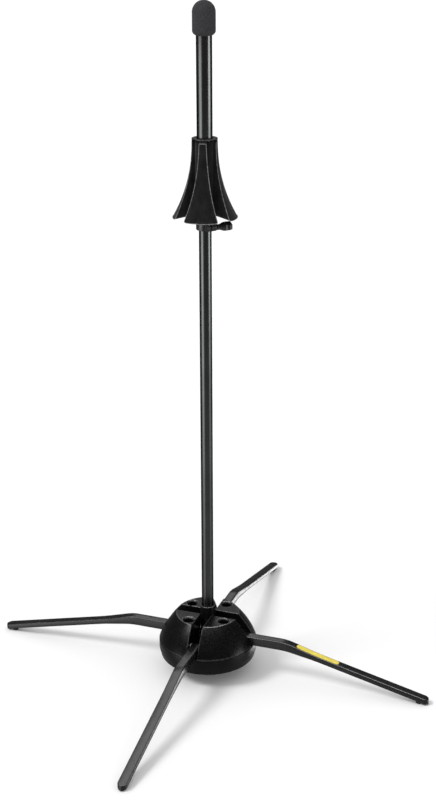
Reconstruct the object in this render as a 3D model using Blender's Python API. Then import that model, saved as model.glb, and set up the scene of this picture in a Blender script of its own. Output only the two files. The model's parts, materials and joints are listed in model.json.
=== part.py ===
"""In-bell stand for a trombone or other brass instrument.

A telescoping mast carries a foam nose, a cone of four flocked petals that sits inside the bell, and a
split clamp pinched by a wing screw. The lower tube is bolted into a round two-part base, and four steel legs
fold up out of the base's open slots. Metres, +Z up, origin on the mast's axis at floor level. Leg 1 points
along +X, and the other legs follow every 90 degrees, counter-clockwise from above.
"""

import math

import bmesh
import bpy
from mathutils import Matrix, Vector

MM = 0.001
GAP = 0.3 * MM  # air kept between neighbouring solids

# Mast
TOTAL_HEIGHT = 720 * MM
LOWER_TUBE_R = 6.4 * MM
UPPER_TUBE_R = 7.8 * MM
TUBE_WALL = 1.0 * MM
UPPER_TUBE_TOP = 700 * MM
UPPER_TUBE_BOTTOM = 506 * MM
LOWER_TUBE_TOP = 554 * MM
TUBE_SIDES = 32

# Foam nose
NOSE_R = 11.4 * MM
NOSE_BOTTOM = 687.2 * MM
NOSE_BOTTOM_ROUND = 4.6 * MM

# Bell cone
CONE_TURN = math.radians(11.2)  # azimuth of the first petal's middle
CONE_TOP = 589.6 * MM
CROWN_R = 12.9 * MM
CROWN_THICK = 2.2 * MM
PETAL_COUNT = 4
PETAL_TOP_R = 12.7 * MM
PETAL_RIM_R = 32.4 * MM
PETAL_RIM_Z = 511 * MM
PETAL_FLARE = 2.25  # power of the flare from crown to rim
PETAL_HALF_TOP = math.radians(18)
PETAL_HALF_RIM = math.radians(33)
PETAL_RIM_RISE = 3.0 * MM  # how much higher a petal's flange ends at the hub than at the rim
PETAL_WALL = 1.6 * MM
PETAL_STATIONS = 12
PETAL_ARC_STEPS = 6
HUB_R = 9.8 * MM

# Split clamp under the cone. Its two lugs stand out in one direction, and the wing screw crosses them
LUG_TURN = math.radians(-43.4)  # azimuth of the lugs and of the split between them
LUG_REACH = 14.2 * MM
LUG_NEAR = -4.3 * MM  # the lugs' outer faces, along the screw
LUG_FAR = 6.2 * MM
LUG_TOP = 507 * MM
SPLIT_HALF = 0.5 * MM
COLLAR_R = 9.2 * MM
COLLAR_BOTTOM = 498 * MM
COLLAR_TOP = 508.5 * MM
COLLAR_LIP = 0.8 * MM
BUSH_WALL = 0.9 * MM
SCREW_OUT = 10.9 * MM  # the wing screw's distance from the mast's axis
SCREW_Z = 501.8 * MM
SCREW_R = 2.0 * MM
SCREW_START = -3.4 * MM
KNOB_NECK_R = 2.9 * MM
KNOB_HUB_R = 4.6 * MM
KNOB_START = 7.2 * MM
KNOB_WING_START = 15.2 * MM
KNOB_END = 22.6 * MM
KNOB_SPAN = 15 * MM
KNOB_THICK = 4.8 * MM

# Base
BASE_BOTTOM = 17 * MM
PARTING_Z = 36.2 * MM
TRAY_R = 53.8 * MM
TRAY_FOOT_R = 52 * MM
TRAY_WALL = 2.6 * MM
TRAY_PLATE = 3.0 * MM
TRAY_BOSS_R = 13 * MM
TRAY_BOSS_LIFT = 7 * MM  # the centre boss's underside above the base's
DOME_TOP = 66.6 * MM
DOME_R = 53.4 * MM
DOME_TOP_R = 34.4 * MM
DOME_BULGE = 2.2 * MM  # how far the dome's side stands out from a straight cone
DOME_WALL = 2.4 * MM
SLOT_HALF = 6.4 * MM
COLUMN_R = 8.3 * MM
COLUMN_TOP = 76 * MM
COLUMN_FOOT_R = 12.4 * MM
COLUMN_FOOT_TOP = 50 * MM
SOCKET_FLOOR = 44 * MM
BASE_SIDES = 64
POCKET_SIDES = 32
COVER_THICK = 1.8 * MM

# Four long screws, one in each wedge, hold the dome down on the tray
DOME_SCREW_RADIUS = 27 * MM
DOME_SCREW_TURN = math.radians(59.4)  # azimuth of the first one
DOME_SCREW_HEAD_R = 4.0 * MM
DOME_SCREW_HEAD = 2.8 * MM
DRIVE_SLOT_HALF = 0.5 * MM
NUT_R = 4.0 * MM
NUT_HIGH = 3.2 * MM
RECESS_R = 5.5 * MM
RECESS_FLOOR = 54 * MM
RECESS_BOSS_R = 7.6 * MM

# Centre bolt, from below into a threaded insert in the lower tube
BOLT_R = 3.0 * MM
BOLT_HEAD_R = 5.6 * MM
BOLT_HEAD = 4.0 * MM
BOLT_TOP = 60 * MM
BOLT_WASHER_R = 8.5 * MM
BOLT_WASHER_THICK = 1.4 * MM
PLUG_DEPTH = 9 * MM
PLUG_CAP = 1.6 * MM

# Legs
LEG_COUNT = 4
PIVOT_R = 38 * MM
PIVOT_Z = 41.6 * MM
PIN_R = 2.0 * MM
PIN_HEAD = 1.0 * MM
WASHER_R = 4.3 * MM
KNEE_R = 90.9 * MM
TIP_R = 244.7 * MM
TIP_Z = 4.9 * MM
LEG_HALF_WIDTH = 4.7 * MM
LEG_HALF_HIGH = 5.0 * MM  # half the height from pivot to knee
LEG_HALF_LOW = 2.6 * MM  # half the height past the taper
LEG_TAPER_END_R = 132 * MM
LEG_CORNER = 0.9 * MM
FOOT_INNER_R = 235 * MM
FOOT_OUTER_R = 243 * MM
FOOT_HALF_WIDTH = 3.8 * MM

# Plain label on the first leg's upper face
LABEL_START_R = 103 * MM
LABEL_END_R = 150 * MM
LABEL_HALF_WIDTH = 3.5 * MM
LABEL_THICK = 0.4 * MM


# ---------------------------------------------------------------- helpers

def clear_scene():
    for obj in list(bpy.data.objects):
        bpy.data.objects.remove(obj, do_unlink=True)


def material(name, colour, roughness, metallic=0.0):
    made = bpy.data.materials.new(name)
    made.use_nodes = True
    shader = made.node_tree.nodes["Principled BSDF"]
    shader.inputs["Base Color"].default_value = (*colour, 1.0)
    shader.inputs["Roughness"].default_value = roughness
    shader.inputs["Metallic"].default_value = metallic
    made.diffuse_color = (*colour, 1.0)
    return made


def empty(name, location=(0, 0, 0), azimuth=0.0, parent=None):
    made = bpy.data.objects.new(name, None)
    bpy.context.scene.collection.objects.link(made)
    made.location = location
    made.rotation_euler = (0, 0, azimuth)
    made.parent = parent
    return made


def solid(name, points, faces, finish=None, parent=None, smooth=40):
    """One closed object from points and faces, with its faces turned outwards."""
    mesh = bpy.data.meshes.new(name)
    mesh.from_pydata([tuple(p) for p in points], [], faces)
    bm = bmesh.new()
    bm.from_mesh(mesh)
    bmesh.ops.recalc_face_normals(bm, faces=bm.faces)
    bm.to_mesh(mesh)
    bm.free()
    mesh.shade_smooth()
    mesh.set_sharp_from_angle(angle=math.radians(smooth))
    made = bpy.data.objects.new(name, mesh)
    bpy.context.scene.collection.objects.link(made)
    made.parent = parent
    if finish:
        mesh.materials.append(finish)
    return made


def turned(name, profile, sides, finish=None, parent=None):
    """A turned solid. The profile is (r, z) points: a closed loop, or a line with both ends on the axis."""
    points, rings = [], []
    for r, z in profile:
        if r == 0:
            rings.append([len(points)])
            points.append((0, 0, z))
            continue
        rings.append(list(range(len(points), len(points) + sides)))
        for i in range(sides):
            angle = 2 * math.pi * i / sides
            points.append((r * math.cos(angle), r * math.sin(angle), z))
    pairs = list(zip(rings, rings[1:]))
    if profile[0][0] > 0:
        pairs.append((rings[-1], rings[0]))
    faces = []
    for low, high in pairs:
        for i in range(sides):
            j = (i + 1) % sides
            corners = [low[i % len(low)], low[j % len(low)], high[j % len(high)], high[i % len(high)]]
            faces.append(tuple(dict.fromkeys(corners)))
    return solid(name, points, faces, finish, parent)


def tube(name, inner, outer, low, high, sides, finish=None, parent=None):
    return turned(name, [(inner, low), (outer, low), (outer, high), (inner, high)], sides, finish, parent)


def rod(name, radius, low, high, sides, finish=None, parent=None):
    return turned(name, [(0, low), (radius, low), (radius, high), (0, high)], sides, finish, parent)


def box(name, low, high, finish=None, parent=None):
    points = [(x, y, z) for x in (low[0], high[0]) for y in (low[1], high[1]) for z in (low[2], high[2])]
    faces = [(0, 1, 3, 2), (4, 6, 7, 5), (0, 4, 5, 1), (2, 3, 7, 6), (0, 2, 6, 4), (1, 5, 7, 3)]
    return solid(name, points, faces, finish, parent)


def lofted(name, sections, finish=None, parent=None, smooth=40):
    """A solid through sections of equal point count, closed by a face at each end."""
    count = len(sections[0])
    points = [p for section in sections for p in section]
    faces = [tuple(range(count))]
    for s in range(len(sections) - 1):
        for i in range(count):
            j = (i + 1) % count
            faces.append((s * count + i, s * count + j, (s + 1) * count + j, (s + 1) * count + i))
    faces.append(tuple(range((len(sections) - 1) * count, len(sections) * count)))
    return solid(name, points, faces, finish, parent, smooth)


def arc(centre_r, centre_z, radius, start, end, steps):
    """Points of a circular arc in the (r, z) plane, angles in degrees from +r towards +z."""
    angles = [math.radians(start + (end - start) * i / steps) for i in range(steps + 1)]
    return [(centre_r + radius * math.cos(a), centre_z + radius * math.sin(a)) for a in angles]


def turn_mesh(obj, matrix):
    """Turn a piece's mesh in place, leaving its origin where it is."""
    obj.data.transform(matrix)
    return obj


def along_y(obj):
    """Turn a piece built along Z to lie along Y."""
    return turn_mesh(obj, Matrix.Rotation(math.radians(90), 4, "X"))


def along_x(obj):
    """Turn a piece built along Z to lie along X, its upper end outermost."""
    return turn_mesh(obj, Matrix.Rotation(math.radians(90), 4, "Y"))


def combine(obj, tool, operation):
    """Cut, join or intersect with a helper solid, which stays in the scene as a hidden guide."""
    tool.hide_render = True
    tool.display_type = "WIRE"
    step = obj.modifiers.new(tool.name, "BOOLEAN")
    step.operation = operation
    step.object = tool
    step.solver = "EXACT"


def cut(obj, tool):
    combine(obj, tool, "DIFFERENCE")


# ---------------------------------------------------------------- base

def dome_side_radius(z):
    """The dome's outer radius at a height: a straight cone plus a bulge that is greatest halfway up."""
    t = (z - PARTING_Z) / (DOME_TOP - PARTING_Z)
    return DOME_R + (DOME_TOP_R - DOME_R) * t + DOME_BULGE * 4 * t * (1 - t)


def dome_side(inset, low, high, steps):
    """The dome's side from low to high, moved inwards by inset."""
    heights = [low + (high - low) * i / steps for i in range(steps + 1)]
    return [(dome_side_radius(z) - inset, z) for z in heights]


def make_dome(parent, finish):
    low = PARTING_Z + GAP
    profile = [(0, low)] + dome_side(0, low, DOME_TOP - 1.2 * MM, 6)
    profile += [(DOME_TOP_R - 0.6 * MM, DOME_TOP), (0, DOME_TOP)]
    dome = turned("base_dome", profile, BASE_SIDES, finish, parent)

    reach = 1.2 * DOME_R
    for axis in (0, 1):
        half = [reach, reach, 0]
        half[axis] = SLOT_HALF
        corner = Vector((half[0], half[1], 0))
        slot = box(f"slot_cutter_{axis + 1}", -corner + Vector((0, 0, low - MM)),
                   corner + Vector((0, 0, DOME_TOP + MM)), parent=parent)
        cut(dome, slot)

    column = turned("column_guide", [
        (0, low), (COLUMN_FOOT_R, low), (COLUMN_FOOT_R, COLUMN_FOOT_TOP - 2 * MM),
        (COLUMN_FOOT_R - 2 * MM, COLUMN_FOOT_TOP), (COLUMN_R, COLUMN_FOOT_TOP + 1.5 * MM),
        (COLUMN_R, COLUMN_TOP - 1.0 * MM), (COLUMN_R - 0.8 * MM, COLUMN_TOP), (0, COLUMN_TOP),
    ], TUBE_SIDES, parent=parent)
    combine(dome, column, "UNION")

    for wedge in range(LEG_COUNT):
        cut(dome, wedge_pocket(wedge, low, parent))
        cut(dome, screw_recess(wedge, parent))

    socket = turned("socket_cutter", [
        (0, low - MM), (BOLT_R + GAP, low - MM), (BOLT_R + GAP, SOCKET_FLOOR),
        (LOWER_TUBE_R + GAP, SOCKET_FLOOR), (LOWER_TUBE_R + GAP, COLUMN_TOP + MM), (0, COLUMN_TOP + MM),
    ], TUBE_SIDES, parent=parent)
    cut(dome, socket)

    for axis in (0, 1):
        for sign in (-1, 1):
            hole = along_y(rod(f"pin_hole_cutter_{axis + 1}_{sign + 2}", PIN_R + GAP,
                               -SLOT_HALF - 2 * DOME_WALL, SLOT_HALF + 2 * DOME_WALL, 16, parent=parent))
            hole.location = (0, 0, PIVOT_Z)
            hole.location[axis] = sign * PIVOT_R
            hole.rotation_euler = (0, 0, axis * math.pi / 2)
            cut(dome, hole)
    return dome


def wedge_pocket(wedge, low, parent):
    """The hollow under one wedge of the dome: open below, walled on every other side."""
    ceiling = DOME_TOP - DOME_WALL
    profile = [(0, low - MM), (DOME_R - DOME_WALL, low - MM)]
    profile += dome_side(DOME_WALL, low, ceiling, 3) + [(0, ceiling)]
    pocket = turned(f"pocket_cutter_{wedge + 1}", profile, POCKET_SIDES, parent=parent)
    inner = SLOT_HALF + DOME_WALL
    corner = (DOME_R, DOME_R, DOME_TOP)
    quadrant = box(f"quadrant_guide_{wedge + 1}", (inner, inner, 0), corner, parent=parent)
    quadrant.rotation_euler = (0, 0, wedge * math.pi / 2)
    combine(pocket, quadrant, "INTERSECT")
    boss = rod(f"screw_boss_guide_{wedge + 1}", RECESS_BOSS_R, 0, DOME_TOP, 24, parent=parent)
    boss.location = dome_screw_place(wedge)
    cut(pocket, boss)
    return pocket


def dome_screw_place(wedge):
    return polar(DOME_SCREW_RADIUS, DOME_SCREW_TURN + wedge * math.pi / 2, 0)


def screw_recess(wedge, parent):
    """A round recess in one wedge's top, with a through hole for the screw's shank."""
    chamfer = 0.8 * MM
    recess = turned(f"recess_cutter_{wedge + 1}", [
        (0, PARTING_Z - MM), (SCREW_R + GAP, PARTING_Z - MM),
        (SCREW_R + GAP, RECESS_FLOOR), (RECESS_R, RECESS_FLOOR),
        (RECESS_R, DOME_TOP - chamfer), (RECESS_R + 2 * chamfer, DOME_TOP + chamfer), (0, DOME_TOP + chamfer),
    ], 32, parent=parent)
    recess.location = dome_screw_place(wedge)
    return recess


def make_tray(parent, finish):
    """The lower shell: a shallow cup, open below, whose top plate is the floor of the leg slots."""
    plate_low = PARTING_Z - TRAY_PLATE
    inner_r = TRAY_FOOT_R - TRAY_WALL
    boss_low = BASE_BOTTOM + TRAY_BOSS_LIFT
    bore = BOLT_R + GAP
    outer = [(inner_r, BASE_BOTTOM)] + arc(TRAY_FOOT_R - 2 * MM, BASE_BOTTOM + 2 * MM, 2 * MM, -90, 0, 2)
    outer += [(TRAY_R, BASE_BOTTOM + 9 * MM), (TRAY_R, PARTING_Z - 0.8 * MM), (TRAY_R - 0.8 * MM, PARTING_Z)]
    profile = outer + [
        (bore, PARTING_Z), (bore, boss_low), (TRAY_BOSS_R, boss_low), (TRAY_BOSS_R, plate_low),
        (inner_r, plate_low),
    ]
    tray = turned("base_tray", profile, BASE_SIDES, finish, parent)
    for wedge in range(LEG_COUNT):
        hole = rod(f"tray_hole_cutter_{wedge + 1}", SCREW_R + GAP, plate_low - MM, PARTING_Z + MM, 16,
                   parent=parent)
        hole.location = dome_screw_place(wedge)
        cut(tray, hole)


def make_dome_screw(wedge, parent, finish):
    """One long slotted screw through dome and tray, with its nut under the tray's plate."""
    place = dome_screw_place(wedge)
    seat = RECESS_FLOOR + GAP
    top = seat + DOME_SCREW_HEAD
    low = PARTING_Z - 11 * MM
    screw = turned(f"dome_screw_{wedge + 1}", [
        (0, low), (SCREW_R, low), (SCREW_R, seat), (DOME_SCREW_HEAD_R, seat), (DOME_SCREW_HEAD_R, top - MM),
        (DOME_SCREW_HEAD_R - 1.4 * MM, top), (0, top),
    ], 24, finish, parent)
    drive = box(f"drive_slot_cutter_{wedge + 1}", (-2.6 * MM, -DRIVE_SLOT_HALF, top - 1.1 * MM),
                (2.6 * MM, DRIVE_SLOT_HALF, top + MM), parent=parent)
    drive.location = screw.location = place
    cut(screw, drive)
    nut_top = PARTING_Z - TRAY_PLATE - GAP
    nut = tube(f"dome_nut_{wedge + 1}", SCREW_R + GAP, NUT_R, nut_top - NUT_HIGH, nut_top, 6, finish, parent)
    nut.location = place


def make_base(finishes):
    frame = empty("base_frame")
    plastic, steel = finishes["base_plastic"], finishes["zinc_steel"]
    make_dome(frame, plastic)
    make_tray(frame, plastic)

    cover_r = TRAY_FOOT_R - TRAY_WALL - GAP
    opening = BOLT_HEAD_R + 4 * MM
    cover_top = BASE_BOTTOM + GAP + COVER_THICK
    tube("bottom_cover", opening, cover_r, BASE_BOTTOM + GAP, cover_top, 40, plastic, frame)
    for wedge in range(LEG_COUNT):
        make_dome_screw(wedge, frame, steel)

    washer_top = BASE_BOTTOM + TRAY_BOSS_LIFT - GAP
    washer_low = washer_top - BOLT_WASHER_THICK
    tube("bolt_washer", BOLT_R + GAP, BOLT_WASHER_R, washer_low, washer_top, 24, steel, frame)
    head_top = washer_low - GAP
    bolt = rod("centre_bolt", BOLT_R, head_top - BOLT_HEAD / 2, BOLT_TOP, 24, steel, frame)
    head = rod("bolt_head_guide", BOLT_HEAD_R, head_top - BOLT_HEAD, head_top, 6, parent=frame)
    combine(bolt, head, "UNION")
    bore = LOWER_TUBE_R - TUBE_WALL
    tube("tube_insert", BOLT_R + GAP, bore - GAP, SOCKET_FLOOR + GAP, BOLT_TOP - 4 * MM, 24, steel, frame)

    tube("lower_tube", bore, LOWER_TUBE_R, SOCKET_FLOOR + GAP, LOWER_TUBE_TOP, TUBE_SIDES,
         finishes["tube_black"], frame)
    cap_low = LOWER_TUBE_TOP + GAP
    cap_top = cap_low + PLUG_CAP
    turned("tube_end_plug", [
        (0, cap_low - PLUG_DEPTH), (bore - GAP, cap_low - PLUG_DEPTH), (bore - GAP, cap_low),
        (LOWER_TUBE_R, cap_low), (LOWER_TUBE_R, cap_top), (0, cap_top),
    ], TUBE_SIDES, finishes["nylon"], frame)


# ---------------------------------------------------------------- legs

def polar(radius, azimuth, z):
    return (radius * math.cos(azimuth), radius * math.sin(azimuth), z)


def leg_middle_z(r):
    """Height of the leg's middle line: level from pivot to knee, then a straight slope to the tip."""
    if r <= KNEE_R:
        return PIVOT_Z
    return PIVOT_Z + (TIP_Z - PIVOT_Z) * (r - KNEE_R) / (TIP_R - KNEE_R)


def leg_half_height(r):
    if r <= KNEE_R:
        return LEG_HALF_HIGH
    if r >= LEG_TAPER_END_R:
        return LEG_HALF_LOW
    t = (r - KNEE_R) / (LEG_TAPER_END_R - KNEE_R)
    return LEG_HALF_HIGH + (LEG_HALF_LOW - LEG_HALF_HIGH) * t


def bar_section(r, middle, half_width, half_height):
    """A flat bar's cross-section at radius r, with its four corners taken off."""
    corner = min(LEG_CORNER, 0.6 * half_width, 0.6 * half_height)
    outline = []
    for sy, sz in ((1, 1), (-1, 1), (-1, -1), (1, -1)):
        near = (sy * (half_width - corner), sz * half_height)
        far = (sy * half_width, sz * (half_height - corner))
        outline += [far, near] if sy == sz else [near, far]
    return [(r - PIVOT_R, y, middle + z - PIVOT_Z) for y, z in outline]


def leg_sections():
    """Cross-sections from the rounded inner end, over the knee, to the tip that is rounded in plan."""
    sections = []
    for angle in (75, 55, 35, 15):
        back = LEG_HALF_HIGH * math.sin(math.radians(angle))
        half = LEG_HALF_HIGH * math.cos(math.radians(angle))
        sections.append(bar_section(PIVOT_R - back, PIVOT_Z, LEG_HALF_WIDTH, half))
    for r in (PIVOT_R, KNEE_R - 4 * MM, KNEE_R, KNEE_R + 4 * MM, KNEE_R + 14 * MM, LEG_TAPER_END_R - 14 * MM,
              LEG_TAPER_END_R, TIP_R - 40 * MM):
        sections.append(bar_section(r, leg_middle_z(r), LEG_HALF_WIDTH, leg_half_height(r)))
    for angle in (0, 25, 45, 62, 76):
        r = TIP_R + LEG_HALF_WIDTH * math.sin(math.radians(angle))
        half = LEG_HALF_WIDTH * math.cos(math.radians(angle))
        sections.append(bar_section(r, leg_middle_z(r), half, LEG_HALF_LOW))
    return sections


def make_leg(number, finishes):
    azimuth = 2 * math.pi * (number - 1) / LEG_COUNT
    hinge = empty(f"leg_{number}_hinge", polar(PIVOT_R, azimuth, PIVOT_Z), azimuth)
    leg = lofted(f"leg_{number}", leg_sections(), finishes["leg_black"], hinge, smooth=25)
    hole = along_y(rod(f"leg_{number}_hole_cutter", PIN_R + GAP, -2 * LEG_HALF_WIDTH, 2 * LEG_HALF_WIDTH,
                       16, parent=hinge))
    cut(leg, hole)

    top = [leg_middle_z(r) - LEG_HALF_LOW - 0.5 * GAP for r in (FOOT_INNER_R, FOOT_OUTER_R)]
    sections = []
    for r, high in zip((FOOT_INNER_R, FOOT_OUTER_R), top):
        corners = ((FOOT_HALF_WIDTH, high - GAP), (-FOOT_HALF_WIDTH, high - GAP), (-FOOT_HALF_WIDTH, 0),
                   (FOOT_HALF_WIDTH, 0))
        sections.append([(r - PIVOT_R, y, z - PIVOT_Z) for y, z in corners])
    lofted(f"leg_{number}_foot", sections, finishes["rubber"], hinge)

    pin_half = SLOT_HALF + DOME_WALL + 0.8 * MM
    pin = turned(f"leg_{number}_pin", [
        (0, -pin_half), (PIN_R, -pin_half), (PIN_R, pin_half), (PIN_R + PIN_HEAD, pin_half),
        (PIN_R + PIN_HEAD, pin_half + PIN_HEAD), (0, pin_half + PIN_HEAD),
    ], 16, finishes["zinc_steel"], hinge)
    along_y(pin)
    for side, sign in (("left", 1), ("right", -1)):
        low = LEG_HALF_WIDTH + GAP
        high = SLOT_HALF - GAP
        washer = along_y(tube(f"leg_{number}_washer_{side}", PIN_R + GAP, WASHER_R, low, high, 20,
                              finishes["nylon"], hinge))
        if sign > 0:
            turn_mesh(washer, Matrix.Rotation(math.pi, 4, "Z"))
    return hinge


def make_label(hinge, finish):
    """A plain label lying along the upper face of the first leg."""
    sections = []
    for r in (LABEL_START_R, LEG_TAPER_END_R, LABEL_END_R):
        low = leg_middle_z(r) + leg_half_height(r) + GAP
        corners = ((LABEL_HALF_WIDTH, low), (-LABEL_HALF_WIDTH, low), (-LABEL_HALF_WIDTH, low + LABEL_THICK),
                   (LABEL_HALF_WIDTH, low + LABEL_THICK))
        sections.append([(r - PIVOT_R, y, z - PIVOT_Z) for y, z in corners])
    lofted("leg_label", sections, finish, hinge)


# ---------------------------------------------------------------- mast

def petal_radius(z):
    """The bell cone's outer radius: almost straight under the crown, then flaring to the rim."""
    t = (CONE_TOP - z) / (CONE_TOP - PETAL_RIM_Z)
    return PETAL_TOP_R + (PETAL_RIM_R - PETAL_TOP_R) * t ** PETAL_FLARE


def petal_section(z, top):
    """A petal's channel-shaped section: an outer arc with a flange at each edge that runs in to the hub."""
    outer = petal_radius(z)
    t = (top - z) / (top - PETAL_RIM_Z)
    half = PETAL_HALF_TOP + (PETAL_HALF_RIM - PETAL_HALF_TOP) * t
    flange_r = HUB_R + GAP
    wall_r = outer - PETAL_WALL
    angles = [half * (2 * i / PETAL_ARC_STEPS - 1) for i in range(PETAL_ARC_STEPS + 1)]
    ring = [(outer, a) for a in angles]
    ring.append((flange_r, half))
    ring.append((flange_r, half - PETAL_WALL / flange_r))
    inner_half = half - PETAL_WALL / wall_r
    ring += [(wall_r, a * inner_half / half) for a in reversed(angles)]
    ring.append((flange_r, -half + PETAL_WALL / flange_r))
    ring.append((flange_r, -half))
    rise = PETAL_RIM_RISE * t ** 4 / (outer - flange_r)
    return [polar(r, a, z + rise * (outer - r)) for r, a in ring]


def make_cone(cone, finishes):
    flock = finishes["flock"]
    inner = UPPER_TUBE_R + GAP
    low = CONE_TOP - CROWN_THICK
    turned("crown_ring", [
        (inner, low), (CROWN_R, low), (CROWN_R, CONE_TOP - 0.8 * MM), (CROWN_R - 0.8 * MM, CONE_TOP),
        (inner, CONE_TOP),
    ], 40, finishes["crown_plastic"], cone)
    petal_top = low - GAP
    hub_low = COLLAR_TOP + GAP
    tube("cone_hub", inner, HUB_R, hub_low, petal_top, TUBE_SIDES, flock, cone)

    heights = [petal_top + (PETAL_RIM_Z - petal_top) * i / PETAL_STATIONS for i in range(PETAL_STATIONS + 1)]
    sections = [petal_section(z, petal_top) for z in heights]
    for number in range(1, PETAL_COUNT + 1):
        petal = lofted(f"petal_{number}", sections, flock, cone)
        petal.rotation_euler = (0, 0, 2 * math.pi * (number - 1) / PETAL_COUNT)


def make_clamp(cone, finishes):
    """The split collar on the upper tube's end, its lugs along local +X, and the split bush inside it."""
    clamp = empty("clamp_frame", azimuth=LUG_TURN)
    bush_r = LOWER_TUBE_R + GAP + BUSH_WALL
    lip_r = LOWER_TUBE_R + 2 * GAP
    seat = UPPER_TUBE_BOTTOM - GAP
    chamfer = 0.6 * MM
    collar = turned("clamp_collar", [
        (0, COLLAR_BOTTOM), (COLLAR_R - chamfer, COLLAR_BOTTOM), (COLLAR_R, COLLAR_BOTTOM + chamfer),
        (COLLAR_R, COLLAR_TOP), (0, COLLAR_TOP),
    ], TUBE_SIDES, finishes["clamp_plastic"], clamp)
    combine(collar, lug_block(clamp), "UNION")
    bore = turned("collar_bore_cutter", [
        (0, COLLAR_BOTTOM - MM), (lip_r, COLLAR_BOTTOM - MM), (lip_r, COLLAR_BOTTOM + COLLAR_LIP),
        (bush_r + GAP, COLLAR_BOTTOM + COLLAR_LIP), (bush_r + GAP, seat), (UPPER_TUBE_R + GAP, seat),
        (UPPER_TUBE_R + GAP, COLLAR_TOP + MM), (0, COLLAR_TOP + MM),
    ], TUBE_SIDES, parent=clamp)
    cut(collar, bore)
    split = box("collar_split_cutter", (0, -SPLIT_HALF, COLLAR_BOTTOM - MM),
                (LUG_REACH + MM, SPLIT_HALF, COLLAR_TOP + MM), parent=clamp)
    cut(collar, split)

    screw_axis = empty("wing_screw_axis", (SCREW_OUT, 0, SCREW_Z), math.pi / 2, clamp)
    hole = along_x(rod("screw_hole_cutter", SCREW_R + GAP, SCREW_START - GAP, LUG_FAR + MM, 20,
                       parent=screw_axis))
    cut(collar, hole)
    along_x(rod("clamp_screw", SCREW_R, SCREW_START, KNOB_END - 4 * MM, 20, finishes["zinc_steel"],
                screw_axis))
    make_wing(screw_axis, finishes["clamp_plastic"])

    bush = tube("guide_bush", LOWER_TUBE_R + GAP, bush_r, COLLAR_BOTTOM + COLLAR_LIP + GAP, seat - GAP,
                TUBE_SIDES, finishes["nylon"], cone)
    bush_split = box("bush_split_cutter", (-2 * bush_r, -SPLIT_HALF, COLLAR_BOTTOM),
                     (0, SPLIT_HALF, COLLAR_TOP), parent=cone)
    cut(bush, bush_split)


def lug_block(clamp):
    """Both lugs as one block that starts inside the collar. Its outer end is rounded, seen from the side."""
    middle_z = (COLLAR_BOTTOM + LUG_TOP) / 2
    half_high = (LUG_TOP - COLLAR_BOTTOM) / 2
    inner = COLLAR_R / 2
    outline = [(inner, COLLAR_BOTTOM)]
    outline += arc(LUG_REACH - half_high, middle_z, half_high, -90, 90, 10)
    outline.append((inner, LUG_TOP))
    return lofted("lug_guide", [[(x, y, z) for x, z in outline] for y in (LUG_NEAR, LUG_FAR)], parent=clamp)


def make_wing(screw_axis, finish):
    """The wing knob: a neck that widens to two flat ears, with a blind bore for the screw."""
    chamfer = 0.6 * MM
    knob = along_x(turned("wing_knob", [
        (0, KNOB_START), (KNOB_NECK_R, KNOB_START), (KNOB_NECK_R, KNOB_START + 3 * MM),
        (KNOB_HUB_R, KNOB_WING_START), (KNOB_HUB_R, KNOB_END - chamfer), (KNOB_HUB_R - chamfer, KNOB_END),
        (0, KNOB_END),
    ], 24, finish, screw_axis))
    ear_r = (KNOB_END - KNOB_WING_START) / 2
    middle = KNOB_WING_START + ear_r
    outline = []
    for side in (1, -1):
        for along, across in arc(0, KNOB_SPAN / 2 - ear_r, ear_r, 180, 0, 8):
            outline.append((middle + side * along, side * across))
    half_thick = KNOB_THICK / 2
    ears = lofted("ears_guide", [[(x, y, z) for x, y in outline] for z in (-half_thick, half_thick)],
                  parent=screw_axis)
    combine(knob, ears, "UNION")
    bore = along_x(rod("knob_bore_cutter", SCREW_R + GAP, KNOB_START - MM, KNOB_END - 4 * MM + GAP, 20,
                       parent=screw_axis))
    cut(knob, bore)


def make_mast(finishes):
    cone = empty("cone_frame", azimuth=CONE_TURN)
    tube("upper_tube", UPPER_TUBE_R - TUBE_WALL, UPPER_TUBE_R, UPPER_TUBE_BOTTOM, UPPER_TUBE_TOP, TUBE_SIDES,
         finishes["tube_black"], cone)
    bore = UPPER_TUBE_R + GAP
    dome_z = TOTAL_HEIGHT - NOSE_R
    round_r = NOSE_BOTTOM_ROUND
    profile = arc(NOSE_R - round_r, NOSE_BOTTOM + round_r, round_r, -80, 0, 3)
    profile = [(bore, NOSE_BOTTOM)] + profile + arc(0, dome_z, NOSE_R, 0, 80, 6)
    profile = [(0, UPPER_TUBE_TOP + GAP), (bore, UPPER_TUBE_TOP + GAP)] + profile + [(0, TOTAL_HEIGHT)]
    turned("foam_nose", profile, 28, finishes["foam"], cone)
    make_cone(cone, finishes)
    make_clamp(cone, finishes)


def main():
    clear_scene()
    finishes = {
        "tube_black": material("tube_black", (0.045, 0.052, 0.05), 0.28, 0.6),
        "leg_black": material("leg_black", (0.03, 0.032, 0.034), 0.3, 0.3),
        "base_plastic": material("base_plastic", (0.02, 0.02, 0.021), 0.5),
        "crown_plastic": material("crown_plastic", (0.04, 0.04, 0.042), 0.4),
        "clamp_plastic": material("clamp_plastic", (0.03, 0.03, 0.031), 0.45),
        "flock": material("flock", (0.012, 0.012, 0.013), 0.95),
        "foam": material("foam", (0.045, 0.045, 0.047), 0.9),
        "rubber": material("rubber", (0.025, 0.025, 0.025), 0.85),
        "nylon": material("nylon", (0.55, 0.55, 0.53), 0.45),
        "zinc_steel": material("zinc_steel", (0.6, 0.61, 0.62), 0.3, 1.0),
        "label": material("label", (0.75, 0.62, 0.08), 0.4),
    }
    make_base(finishes)
    hinges = [make_leg(number, finishes) for number in range(1, LEG_COUNT + 1)]
    make_label(hinges[0], finishes["label"])
    make_mast(finishes)


main()
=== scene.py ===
"""Looks for the in-bell brass instrument stand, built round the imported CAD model."""

import json
import math

import bmesh
import bpy
from mathutils import Matrix, Vector


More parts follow.
